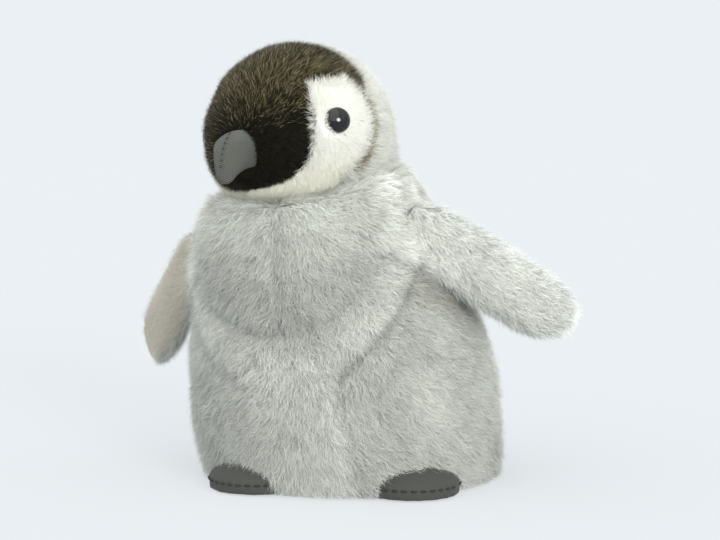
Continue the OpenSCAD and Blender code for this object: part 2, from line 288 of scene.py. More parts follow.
def torso_seams(p):
    """How near each point is to a seam, and its distances above the bib and belly seams."""
    angle, height, radius, y = body_coords(p)
    bib = over_seam(height, y, BIB_H)
    belly = over_seam(height, y, BELLY_H)
    front = np.abs(angle) < SIDE_TO
    beside = np.abs(angle) > BELLY_HALF
    firm = np.where(angle > 0, 1.0, FAINT)
    strip = (np.abs(angle) - BELLY_HALF) * radius
    side = (np.abs(angle) - SIDE_TO) * radius
    back = (math.pi - np.abs(angle)) * radius
    lines = np.maximum.reduce([
        near(bib, 5 * MM) * front,
        near(belly, SEAM_W) * front * beside * firm,
        near(strip, SEAM_W) * (belly < 0) * firm,
        near(side, SEAM_W),
        0.6 * near(angle * radius, SEAM_W) * (bib > 0),
        near(back, SEAM_W),
    ])
    return lines, bib, belly


# ---- skins

BODY_PILE = 5.2 * MM
HEAD_PILE = 3.7 * MM
FLOOR = 0.5 * MM      # the torso skin's lowest height
BIB_LIP = 1.6 * MM    # how far the bib's lower edge stands out
BIB_ROLL = 16 * MM
FOLD_DEPTH = 2.2 * MM     # the fold under the bib
SIDE_LIP = 1.0 * MM
SEAM_DEPTH = 1.5 * MM
CHIN_DIP = 4 * MM     # how far the collar drops below the chin
CHIN_ROUND = math.radians(20)


def chin_dip(angle):
    """The collar is lower under the chin, so that the white of the face shows."""
    return CHIN_DIP * np.clip(np.cos(angle - CHIN_ROUND), 0, 1) ** 2


def torso_grid():
    """The torso's skin: rings from the middle of the base up to inside the collar."""
    around = 168
    rows = 96
    angles = np.linspace(-math.pi, math.pi, around, endpoint=False)
    out = np.sin(angles)[:, None] * body_left + -np.cos(angles)[:, None] * body_back
    points = []
    low_r = torso_radius(PROFILE[:, 0].min() + 12 * MM) - BODY_PILE - 3 * MM
    low_level = (FLOOR - head_centre[2] - low_r * out[:, 2]) / body_up[2]
    foot_ring = head_centre + low_level[:, None] * body_up + low_r * out
    middle = foot_ring.mean(axis=0)
    top = COLLAR - chin_dip(angles)
    for share in (0.12, 0.3, 0.48, 0.66, 0.84):
        points.append(middle + (foot_ring - middle) * share)
    for row in range(rows + 1):
        t = row / rows
        level = low_level + (top - low_level) * t
        rounding = 3 * MM * fade(t * rows, 4) ** 2
        radius = torso_radius(level) - BODY_PILE - rounding
        ring = head_centre + level[:, None] * body_up + radius[:, None] * out
        ring[:, 2] = np.maximum(ring[:, 2], FLOOR)
        points.append(ring)
    for share, drop in ((0.8, 0.0), (0.55, -2 * MM), (0.3, -4 * MM)):
        radius = (torso_radius(COLLAR) - BODY_PILE) * share
        points.append(head_centre + (top + drop)[:, None] * body_up + radius * out)
    return np.concatenate(points), tube_faces(len(points), around)


def make_torso_skin():
    points, faces = torso_grid()
    skin = new_object("torso_skin", points, faces)
    seams, bib, belly = torso_seams(points)
    angle, height, _, _ = body_coords(points)
    front = grow(SIDE_TO - np.abs(angle), 0.5)
    lip = fade(bib, BIB_ROLL) * (bib > 0) * front
    dip = near(bib + 2 * MM, 7 * MM) * (bib <= 0) * front
    side_lip = near(belly + 4 * MM, 6 * MM) * (angle > BELLY_HALF) * front
    shift = BIB_LIP * lip - FOLD_DEPTH * dip + SIDE_LIP * side_lip - SEAM_DEPTH * seams
    set_vertices(skin, points + vertex_normals(skin) * shift[:, None])
    held = np.where(seams > 0.5, 0.9, 0.0)
    held[(points[:, 2] < 4 * MM) | (height - head_height > COLLAR - 4 * MM)] = 1.0
    puff(skin, held, cap=2.5 * MM, pressure=3.0)
    keep_above(skin, FLOOR)
    return skin


MASK_R = 32.5 * MM
MASK_Z = 7 * MM
MASK_DROP = 24.5 * MM     # from the mask's middle down to its flat chin edge
CHEEK_R = 26 * MM
CHEEK_Y = -24 * MM
CHEEK_Z = 8 * MM
CHEEK_TOP = 24 * MM
CHIN_LOW = -28 * MM
CROWN_BACK = 8 * MM
CROWN_LOW = 13 * MM
CROWN_TURN = 15 * MM      # radius of the crown's low back corner


def head_zones(local):
    """Signed distances in head space, positive inside: mask, cheek, crown, cheek's round back."""
    x = np.abs(local[:, 0])
    y = local[:, 1]
    z = local[:, 2]
    above = np.hypot(x, z - MASK_Z) / MASK_R
    below = ((x / MASK_R) ** 2.6 + (np.abs(z - MASK_Z) / MASK_DROP) ** 2.6) ** (1 / 2.6)
    mask = np.where(y < 0, MASK_R * (1 - np.where(z > MASK_Z, above, below)), -1.0)
    round_back = CHEEK_R - np.hypot(y - CHEEK_Y, z - CHEEK_Z)
    forward = np.minimum(CHEEK_Y + 6 * MM - y, z - CHIN_LOW)
    cheek = np.minimum.reduce([np.maximum(round_back, forward), CHEEK_TOP - z, -mask])
    past_back = np.maximum(CROWN_TURN - CROWN_BACK + y, 0)
    past_low = np.maximum(CROWN_TURN - z + CROWN_LOW, 0)
    crown = CROWN_TURN - np.hypot(past_back, past_low)
    crown = np.maximum(np.minimum(crown, -cheek), mask)
    return mask, cheek, crown, round_back


def make_head_skin():
    bpy.ops.mesh.primitive_ico_sphere_add(subdivisions=6, radius=1)
    skin = bpy.context.active_object
    skin.name = "head_skin"
    skin.data.name = "head_skin"
    ball = vertices(skin)
    _, cheek, crown, _ = head_zones(ball * HEAD_R)
    seam = np.maximum(near(cheek, 3 * MM), near(crown, 3 * MM))
    middle = near(ball[:, 0] * HEAD_R, 2.5 * MM) * (ball[:, 1] > 0)
    seam = np.maximum(seam, middle * 0.8)
    radius = HEAD_R - HEAD_PILE - 1.0 * MM * seam
    set_vertices(skin, from_head(ball * radius[:, None]))
    skin.data.shade_smooth()
    held = np.where(seam > 0.5, 0.9, 0.0)
    puff(skin, np.where(ball[:, 2] < -0.6, 1.0, held), cap=1.2 * MM, pressure=3.0)
    return skin


def limb_frame(side):
    """Origin at the shoulder; columns along the flipper, across it, and out of its front face."""
    joint = joints[side + "_flipper_raise"]
    origin = np.array(joint["pos_m"])
    cloud = node_points(side + "_flipper_outer", side + "_flipper_inner")
    axis = unit(joint["axis"])
    along = (cloud.max(axis=0) + cloud.min(axis=0)) / 2 - origin
    along = unit(along - axis * (along @ axis))
    across = np.cross(axis, along)
    front = axis if axis[1] < 0 else -axis
    return origin, np.stack([along, across, front], axis=1)


def make_flipper_skin(side):
    nodes = [side + "_flipper_outer", side + "_flipper_inner", side + "_flipper_stuffing"]
    skin = solid_copy(side + "_flipper_skin", nodes, voxel=2.5 * MM, inset=3.0 * MM, smoothing=10)
    origin, axes = limb_frame(side)
    local = (vertices(skin) - origin) @ axes
    taper = grow(local[:, 0] + 12 * MM, 26 * MM)
    local[:, 1:] *= (0.6 + 0.4 * taper)[:, None]
    set_vertices(skin, origin + local @ axes.T)
    rim = near(local[:, 2], 1.6 * MM)
    held = np.where(local[:, 0] < 14 * MM, 1.0, np.where(rim > 0.3, 0.6, 0.0))
    puff(skin, held, cap=2 * MM, pressure=4.0)
    return skin


FOOT_PLUMP = 1.18     # the stuffed foot stands higher than its cut shape


def make_foot_skin(side):
    nodes = [side + "_foot_upper", side + "_foot_sole", side + "_foot_stuffing"]
    skin = solid_copy(side + "_foot_skin", nodes, voxel=1.5 * MM, inset=0.5 * MM, smoothing=6)
    co = vertices(skin)
    co[:, 2] *= FOOT_PLUMP
    set_vertices(skin, co)
    held = np.where(co[:, 2] < 5 * MM, 1.0, 0.0)
    puff(skin, held, cap=1.5 * MM, pressure=4.0)
    keep_above(skin, 0.2 * MM)
    return skin


def make_beak_skin():
    nodes = ["beak_left_panel", "beak_right_panel", "beak_under_panel", "beak_stuffing"]
    skin = solid_copy("beak_skin", nodes, voxel=1.0 * MM, inset=-0.4 * MM, smoothing=22)
    modify(skin, "SUBSURF", levels=1, render_levels=1)
    return skin


# ---- materials

def linear(red, green, blue):
    """An sRGB colour from 0 to 255 as linear numbers."""
    c = np.array([red, green, blue]) / 255
    return np.where(c <= 0.04045, c / 12.92, ((c + 0.055) / 1.055) ** 2.4)


def rgba(colour, gain=1.0):
    return (*[float(c) * gain for c in colour], 1)


def set_inputs(node, values):
    for name, value in values.items():
        node.inputs[name].default_value = value


def new_material(name, colour, roughness, sheen=0.0, specular=0.3):
    material = bpy.data.materials.new(name)
    material.use_nodes = True
    nodes = material.node_tree.nodes
    shader = nodes["Principled BSDF"]
    set_inputs(shader, {"Base Color": rgba(colour), "Roughness": roughness, "Sheen Weight": sheen,
                        "Sheen Roughness": 0.5, "Specular IOR Level": specular})
    return material, nodes, material.node_tree.links, shader


def add_bump(material, shader, height, strength, distance):
    """Raises a surface by the Fac of another of its nodes."""
    tree = material.node_tree
    bump = tree.nodes.new("ShaderNodeBump")
    set_inputs(bump, {"Strength": strength, "Distance": distance})
    tree.links.new(height.outputs["Fac"], bump.inputs["Height"])
    tree.links.new(bump.outputs["Normal"], shader.inputs["Normal"])


def add_noise(material, scale):
    noise = material.node_tree.nodes.new("ShaderNodeTexNoise")
    noise.inputs["Scale"].default_value = scale
    return noise


def pile_material():
    """Pile strands: each takes its colour from its own mesh, and lets some light through."""
    material, nodes, links, shader = new_material("pile", (0.6, 0.6, 0.6), 0.9, sheen=0.1, specular=0.1)
    colour = nodes.new("ShaderNodeAttribute")
    colour.attribute_name = "pile"
    through = nodes.new("ShaderNodeBsdfTranslucent")
    mix = nodes.new("ShaderNodeMixShader")
    mix.inputs["Fac"].default_value = 0.4
    links.new(colour.outputs["Color"], shader.inputs["Base Color"])
    links.new(colour.outputs["Color"], through.inputs["Color"])
    links.new(shader.outputs["BSDF"], mix.inputs[1])
    links.new(through.outputs["BSDF"], mix.inputs[2])
    links.new(mix.outputs["Shader"], nodes["Material Output"].inputs["Surface"])
    return material


def backing_material(name):
    """Cloth under the pile, with a little mottling. It takes its colour from its own mesh."""
    material, nodes, links, shader = new_material(name, (0.6, 0.6, 0.6), 0.95, specular=0.1)
    colour = nodes.new("ShaderNodeAttribute")
    colour.attribute_name = "pile"
    links.new(colour.outputs["Color"], shader.inputs["Base Color"])
    add_bump(material, shader, add_noise(material, 700), strength=0.5, distance=0.4 * MM)
    return material


def store_colours(mesh, colours):
    """Keeps one colour for each vertex, where the pile materials read it."""
    rows = np.ones((len(mesh.vertices), 4), np.float32)
    rows[:, :3] = colours
    layer = mesh.attributes.new("pile", "FLOAT_COLOR", "POINT")
    layer.data.foreach_set("color", rows.ravel())


def twill_material(name, colour, rib_scale, contrast):
    """Woven cloth with fine ribs that follow the weave coordinates stored on the piece."""
    material, nodes, links, shader = new_material(name, colour, 0.8, sheen=0.05, specular=0.2)
    place = nodes.new("ShaderNodeAttribute")
    place.attribute_name = "weave"
    ribs = nodes.new("ShaderNodeTexWave")
    ribs.wave_type = "BANDS"
    ribs.bands_direction = "X"
    set_inputs(ribs, {"Scale": rib_scale, "Distortion": 0.5, "Detail": 1, "Detail Scale": 6})
    ramp = nodes.new("ShaderNodeValToRGB")
    ramp.color_ramp.elements[0].color = rgba(colour, 1 - contrast)
    ramp.color_ramp.elements[1].color = rgba(colour, 1 + contrast)
    links.new(place.outputs["Vector"], ribs.inputs["Vector"])
    links.new(ribs.outputs["Fac"], ramp.inputs["Fac"])
    links.new(ramp.outputs["Color"], shader.inputs["Base Color"])
    add_bump(material, shader, ribs, strength=3 * contrast, distance=0.2 * MM)
    return material


def set_weave(skin, coords):
    """Stores where each vertex lies across the ribs of the cloth."""
    layer = skin.data.attributes.new("weave", "FLOAT_VECTOR", "POINT")
    layer.data.foreach_set("vector", np.asarray(coords, np.float32).ravel())


# ---- pile

BLADE_POINTS = 5
UV_CELLS = 256
PIECE_STRANDS = 60000     # most strands in one piece


def hash_noise(cell, seed):
    """Three repeatable numbers from 0 to 1 for each whole-number cell."""
    key = cell[:, 0] * 73856093 ^ cell[:, 1] * 19349663 ^ cell[:, 2] * 83492791 ^ seed * 2654435761
    out = np.empty((len(cell), 3))
    for k in range(3):
        key = (key * 6364136223846793005 + 1442695040888963407 + k) & 0x7FFFFFFFFFFFFFFF
        out[:, k] = ((key >> 33) & 0xFFFFFF) / 0xFFFFFF
    return out


def nearest_tuft(points, size, seed):
    """The middle of the tuft that each point belongs to, and one number from 0 to 1 for that tuft."""
    base = np.floor(points / size).astype(np.int64)
    best = np.full(len(points), np.inf)
    middle = points.copy()
    tone = np.zeros(len(points))
    for step in itertools.product((-1, 0, 1), repeat=3):
        cell = base + step
        spot = (cell + hash_noise(cell, seed)) * size
        away = np.sum((spot - points) ** 2, axis=1)
        closer = away < best
        best[closer] = away[closer]
        middle[closer] = spot[closer]
        tone[closer] = hash_noise(cell[closer], seed + 5)[:, 0]
    return middle, tone


def smooth_noise(points, size, seed):
    """Soft noise from -1 to 1, made of a few waves."""
    rng = np.random.default_rng(seed)
    total = np.zeros(len(points))
    waves = 7
    for _ in range(waves):
        direction = unit(rng.normal(size=3))
        phase = rng.uniform(0, 2 * math.pi)
        length = size * rng.uniform(0.7, 1.5)
        total += np.sin(points @ direction * 2 * math.pi / length + phase)
    return total / math.sqrt(waves * 2)


def scatter(skin, per_mm2, seed, keep):
    """Random points over a skin with their normals. keep gives a share from 0 to 1 for each."""
    mesh = skin.data
    mesh.calc_loop_triangles()
    count = len(mesh.loop_triangles)
    corners = np.empty(count * 3, np.int32)
    mesh.loop_triangles.foreach_get("vertices", corners)
    corners = corners.reshape(-1, 3)
    co = vertices(skin)
    no = vertex_normals(skin)
    a, b, c = co[corners.T]
    area = norm(np.cross(b - a, c - a)) / 2
    rng = np.random.default_rng(seed)
    number = int(area.sum() / MM ** 2 * per_mm2)
    pick = np.searchsorted(np.cumsum(area) / area.sum(), rng.random(number))
    pick = np.minimum(pick, count - 1)
    u = np.sqrt(rng.random(number))
    v = rng.random(number)
    share = np.stack([1 - u, u * (1 - v), u * v], axis=1)[:, :, None]
    tri = corners[pick]
    points = (co[tri] * share).sum(axis=1)
    normals = unit((no[tri] * share).sum(axis=1))
    chosen = rng.random(number) < keep(points, normals)
    return points[chosen], normals[chosen]


def comb(normals, flow):
    """Flow directions laid flat on the surface."""
    flat = flow - normals * np.sum(flow * normals, axis=1, keepdims=True)
    return unit(flat)


def turned(a, b, angle):
    """Rows of a turned towards b, by one angle for each row."""
    return a * np.cos(angle)[:, None] + b * np.sin(angle)[:, None]


TANGLE = 0.42         # spread of the strands' ways, in radians
LOWER_RISE = 0.35     # a strand's lower half stands up by this much more than its lift
UPPER_DROP = 0.15     # and its upper half by this much less


def lay_pile(points, normals, flow, length, width, lift, colour, seed,
             tuft=1.6 * MM, gather=0.22, tone=0.19, shade=0.5, tip=1.28):
    """Blade points and colours for one coat.

    length, width and lift (radians off the surface) may be numbers or arrays.
    """
    rng = np.random.default_rng(seed)
    n = len(points)
    length = np.broadcast_to(length, n) * rng.uniform(0.75, 1.15, n)
    width = np.broadcast_to(width, n) * rng.uniform(0.8, 1.2, n)
    lift = np.broadcast_to(lift, n) + rng.normal(0, 0.16, n) + 0.4 * (rng.random(n) < 0.1)
    flat = comb(normals, flow)
    side = np.cross(normals, flat)
    turn = rng.normal(0, TANGLE, n)
    middle, tuft_tone = nearest_tuft(points, tuft, seed)
    _, big_tone = nearest_tuft(points, tuft * 3.1, seed + 1)
    turn += (big_tone - 0.5) * 0.6
    lie = turned(flat, side, turn)
    across = np.cross(normals, lie)
    pull = middle - points
    pull -= normals * np.sum(pull * normals, axis=1, keepdims=True)
    reach = (length * 0.5)[:, None]
    mid = points + turned(lie, normals, lift + LOWER_RISE) * reach + pull * gather * 0.45
    point = mid + turned(lie, normals, lift - UPPER_DROP) * reach + pull * gather * 0.55
    flatway = turned(across, normals, rng.normal(0, 0.5, n))
    half = flatway * (width / 2)[:, None]
    blades = np.stack([points - half, points + half, mid - half * 0.8, mid + half * 0.8, point], axis=1)
    facing = unit(normals + 0.5 * np.cross(lie, flatway))
    blades[:, :, 2] = np.maximum(blades[:, :, 2], STRAND_FLOOR)
    varied = 1 + (tuft_tone - 0.5) * tone + rng.normal(0, 1, n) * tone
    varied += smooth_noise(points, 30 * MM, seed) * tone * 0.5
    base = np.broadcast_to(colour, (n, 3)) * varied[:, None]
    # Darker roots are painted shade deep in the pile; lighter tips are partly the fur's own tipped
    # colour and partly painted light where the tips catch it.
    root = np.broadcast_to(shade, n)
    end = np.broadcast_to(tip, n)
    middle_tone = root * 0.35 + end * 0.65
    stages = np.stack([root, root, middle_tone, middle_tone, end], axis=1)
    tints = base[:, None, :] * stages[:, :, None]
    return blades, np.clip(tints, 0, 1), facing


def pile_piece(name, blades, tints, facing, material):
    """One mesh of blades, with a colour for each point and a tidy map for its own texture."""
    index = np.arange(len(blades))
    mesh = bpy.data.meshes.new(name)
    mesh.vertices.add(len(blades) * BLADE_POINTS)
    mesh.vertices.foreach_set("co", blades.astype(np.float32).ravel())
    pattern = np.array([1, 0, 2, 3, 3, 2, 4])
    corner = (index[:, None] * BLADE_POINTS + pattern).ravel()
    mesh.loops.add(len(corner))
    mesh.loops.foreach_set("vertex_index", corner.astype(np.int32))
    mesh.polygons.add(len(blades) * 2)
    starts = (index[:, None] * len(pattern) + np.array([0, 4])).ravel()
    mesh.polygons.foreach_set("loop_start", starts.astype(np.int32))
    mesh.update(calc_edges=True)
    store_colours(mesh, tints.reshape(-1, 3))
    blade_map = np.array([[0.2, 0.1], [0.8, 0.1], [0.2, 0.55], [0.8, 0.55], [0.5, 0.9]])
    cell = np.stack([index % UV_CELLS, index // UV_CELLS], axis=1)
    uv = (cell[:, None, :] + blade_map[pattern]) / UV_CELLS
    layer = mesh.uv_layers.new(name="OFBake")
    layer.uv.foreach_set("vector", uv.astype(np.float32).ravel())
    mesh.shade_smooth()
    mesh.normals_split_custom_set_from_vertices(np.repeat(facing, BLADE_POINTS, axis=0).tolist())
    mesh.materials.append(material)
    return add_object(name, mesh)


def split_pile(name, coat, material):
    """Pieces of one coat, each small enough for its own texture."""
    blades, tints, facing = coat
    order = np.argsort(blades[:, 0, 2], kind="stable")
    parts = max(1, math.ceil(len(order) / PIECE_STRANDS))
    pieces = []
    for number, chosen in enumerate(np.array_split(order, parts)):
        piece_name = name if parts == 1 else f"{name}_{number + 1}"
        pieces.append(pile_piece(piece_name, blades[chosen], tints[chosen], facing[chosen], material))
    return pieces


STRANDS_PER_MM2 = {"torso": (6.2, 2.2), "head": (7.5, 3.0), "flipper": (6.2, 2.2), "lining": (7.0, 2.8)}

# Lengths and widths of the strands.
TORSO_STRAND = 7.4 * MM
HEM_EXTRA = 2.4 * MM
SHOULDER_EXTRA = 3 * MM
FOOT_EXTRA = 1.5 * MM
HOOD_STRAND = 7.0 * MM
NAPE_EXTRA = 5 * MM
CROWN_STRAND = 5.6 * MM
CHEEK_STRAND = 3.8 * MM
FRINGE_EXTRA = 2.2 * MM
RIM_STRAND = 4.6 * MM
FLIPPER_STRAND = 6.8 * MM
LINING_STRAND = 2.4 * MM
STRAND_W = 0.16 * MM
HEAD_STRAND_W = 0.15 * MM
CROWN_STRAND_W = 0.2 * MM
GLINT_W = 0.21 * MM

SHOULDER_W = 17 * MM      # half the width of a flipper's root
SHOULDER_IN = 12 * MM     # how far its pile runs in over the body
OUTER_EDGE = -0.5         # how far a flipper's outer pile turns round its rim, as a cosine
LINING_EDGE = -0.45
FOOT_REACH = 30 * MM      # longer pile round the feet, this far out and up
FOOT_HIGH = 26 * MM
STRAND_FLOOR = 0.3 * MM

BELLY_GREY = linear(195, 197, 190)
BIB_GREY = linear(181, 183, 176)
SIDE_GREY = linear(186, 188, 181)
HOOD_GREY = linear(215, 216, 208)
FLIPPER_GREY = linear(209, 211, 204)
WHITE = linear(234, 234, 226)
CREAM = linear(246, 245, 231)
CROWN = linear(41, 36, 21)
GLINT = linear(148, 139, 105)     # pale strands among the brown ones, partly painted highlight on tips catching the light
GLINT_SHARE = 0.21
MASK = linear(25, 23, 15)
RIM = linear(118, 108, 86)
BEIGE = linear(196, 192, 180)
BACKING_SHADE = 0.8     # the cloth under the pile is darker than the pile
HEAD_BACKING_SHADE = 0.85


def blend_rows(a, b, share):
    """Mixes two colours, or rows of them, with one share from 0 to 1 for each row."""
    share = np.clip(share, 0, 1)[:, None]
    return a * (1 - share) + b * share


def torso_colour(points):
    """The pile colour of each panel, with painted shade along the seams, under the bib and under and
    round the flipper roots, and a painted lighter lip on the bib's lower edge.
    """
    angle, height, radius, _ = body_coords(points)
    _, bib, belly = torso_seams(points)
    in_front = np.abs(angle) < SIDE_TO
    in_bib = (bib > 0) & in_front
    beside = np.abs(angle) > BELLY_HALF
    colour = np.where(in_bib[:, None], BIB_GREY, BELLY_GREY)
    colour = np.where(((belly < 0) & beside)[:, None], SIDE_GREY, colour)
    colour = np.where(in_front[:, None], colour, HOOD_GREY)
    collar = grow(height - head_height - COLLAR + 36 * MM, 28 * MM)
    colour = blend_rows(colour, HOOD_GREY, collar * grow(np.abs(angle) - 0.85, 0.4))
    colour *= (1 + 0.28 * collar * in_bib)[:, None]
    # Painted shade: fold is the shadow under the bib's overhanging edge; join, strip and middle are
    # shade in the seam creases and in the parting along the bib's middle seam.
    fold = near(bib + 4 * MM, 6 * MM) * (bib < 0) * in_front
    firm = np.where(angle > 0, 1.0, FAINT)
    join = near(belly, 2.5 * MM) * beside * in_front * firm
    strip = near((np.abs(angle) - BELLY_HALF) * radius, 3.5 * MM) * (belly < 0) * firm
    middle = near(angle * radius, 2.5 * MM) * in_bib
    # Painted light: the bib's rolled lower lip is a little lighter.
    hem = in_bib * fade(bib, 7 * MM)
    # Painted shade under and beside the flipper roots: edge darkens the borders of the shoulder pile,
    # and armpit is a brownish painted shadow under each flipper.
    shoulder, edge, armpit, _ = shoulder_zones(points)
    colour = blend_rows(colour, FLIPPER_GREY, shoulder)
    colour = blend_rows(colour, BEIGE * 0.55, 0.6 * armpit)
    # All of these terms are painted shade, except the hem term, which is painted light.
    darker = 0.12 * fold + 0.34 * join + 0.14 * strip + 0.05 * middle - 0.04 * hem + 0.25 * edge
    return colour * (1 - darker)[:, None]


def shoulder_zones(points):
    """Where body pile lies like the flipper's, that zone's edge and the armpit, both given painted
    shade, and the flipper's way.
    """
    on, edge, armpit = np.zeros((3, len(points)))
    way = np.zeros((len(points), 3))
    for side in SIDES:
        origin, axes = limb_frame(side)
        local = (points - origin) @ axes
        along = local[:, 0]
        down = local[:, 1] * (1 if axes[2, 1] < 0 else -1)
        ahead = (local[:, 2] > -14 * MM) & (along < 60 * MM)
        across = grow(SHOULDER_W - np.abs(down), 4 * MM)
        here = grow(along + SHOULDER_IN, 5 * MM) * across * ahead
        on = np.maximum(on, here)
        # edge: painted shade under a flipper's root and along the inner border of its pile
        low = near(down - SHOULDER_W, 3 * MM) * (along > -SHOULDER_IN / 2)
        side_edge = near(along + SHOULDER_IN, 2.5 * MM) * (np.abs(down) < SHOULDER_W) * 0.5
        edge = np.maximum(edge, np.maximum(low, side_edge) * ahead)
        # armpit: the painted shadow on the body under each flipper
        outward = grow(along - 8 * MM, 14 * MM)
        under = near(down - SHOULDER_W - 5 * MM, 10 * MM) * outward * ahead
        armpit = np.maximum(armpit, under)
        way += here[:, None] * axes[:, 0]
    return on, edge, armpit, way


def strands_per_mm2(coat, quick):
    full, fast = STRANDS_PER_MM2[coat]
    return fast if quick else full


def torso_coat(skin, quick):
    def keep(points, normals):
        angle, height, _, _ = body_coords(points)
        covered = (height > head_height + COLLAR + 1 * MM - chin_dip(angle))
        under = (points[:, 2] < 2 * MM) & (normals[:, 2] < -0.5)
        return np.where(covered | under, 0.0, 1.0)

    points, normals = scatter(skin, strands_per_mm2("torso", quick), seed=21, keep=keep)
    _, bib, _ = torso_seams(points)
    angle, _, _, _ = body_coords(points)
    in_bib = (bib > 0) & (np.abs(angle) < SIDE_TO)
    out = unit(points - head_centre - ((points - head_centre) @ body_up)[:, None] * body_up)
    round_way = np.cross(body_up, out)
    swirl = smooth_noise(points, 50 * MM, 3) * 0.4 + smooth_noise(points, 14 * MM, 4) * 0.35
    swirl += 0.9 * np.sin(angle) * (np.abs(angle) < SIDE_TO)
    swirl += np.where(in_bib, np.sign(angle) * 0.35 * np.exp(-(angle / 0.5) ** 2), 0)
    flow = round_way * swirl[:, None] - body_up
    shoulder, _, _, way = shoulder_zones(points)
    flow = flow * (1 - shoulder)[:, None] + way * 1.5
    hem = in_bib * fade(bib, 9 * MM)
    length = TORSO_STRAND + HEM_EXTRA * hem + SHOULDER_EXTRA * shoulder
    for side in SIDES:
        low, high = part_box(side + "_foot_upper")
        foot = (np.array(low) + np.array(high)) / 2
        beside = np.clip(1.4 - np.hypot(*(points - foot)[:, :2].T) / FOOT_REACH, 0, 1)
        length += FOOT_EXTRA * beside * (points[:, 2] < FOOT_HIGH)
    lift = 0.36 + 0.12 * smooth_noise(points, 16 * MM, 8) + 0.18 * hem
    return lay_pile(points, normals, flow, length, STRAND_W, lift, torso_colour(points), seed=31)


BEAK_MIDDLE = -2 * MM     # height of the beak's middle in head space
BEAK_HALF_W = 8 * MM
BEAK_HALF_H = 11 * MM
HEAD_BARE_BELOW = -36 * MM
EYE_BARE = 5.4 * MM
EYE_NEAR = 12 * MM      # the pile is shorter this near to an eye
BEAK_NEAR = 22 * MM     # and this near to the beak's root
LASH_REACH = 7.4 * MM
LASH_WAY = unit([-0.5, -0.6, -0.6])     # the left eye's low front side, where strands lean over it


def mask_share(local):
    """1 in the darkest part of the face, 0 on the crown."""
    mask, _, _, _ = head_zones(local)
    inside = grow(mask + 2 * MM, 8 * MM)
    return inside * grow(26 * MM - local[:, 2], 16 * MM)


def head_colour(local):
    """Crown, mask, cheek and hood colours in head space, with the brown rim round the cheek and painted
    side light lightening the mask on the head's -X side.
    """
    mask, cheek, crown, round_back = head_zones(local)
    in_crown = (crown > 0)[:, None]
    in_cheek = (cheek > 0)[:, None]
    # Painted side light: the mask turns lighter brown towards the head's -X side, where more light
    # falls.
    side = np.clip(1 + local[:, 0] / (24 * MM), 0.35, 1)
    brown = blend_rows(CROWN, MASK, mask_share(local) * side)
    white = blend_rows(WHITE, CREAM, grow(-local[:, 2] - 6 * MM, 14 * MM))
    colour = np.where(in_cheek, white, np.where(in_crown, brown, HOOD_GREY))
    edge = near(round_back + 0.8 * MM, 1.2 * MM) * (mask < -3 * MM)
    edge *= (local[:, 2] < CHEEK_TOP + 4 * MM)
    rim = (edge > 0.2) & (local[:, 2] > -21 * MM) & (local[:, 1] > -12 * MM)
    colour = np.where(rim[:, None], RIM, colour)
    return colour, in_crown[:, 0], in_cheek[:, 0], rim


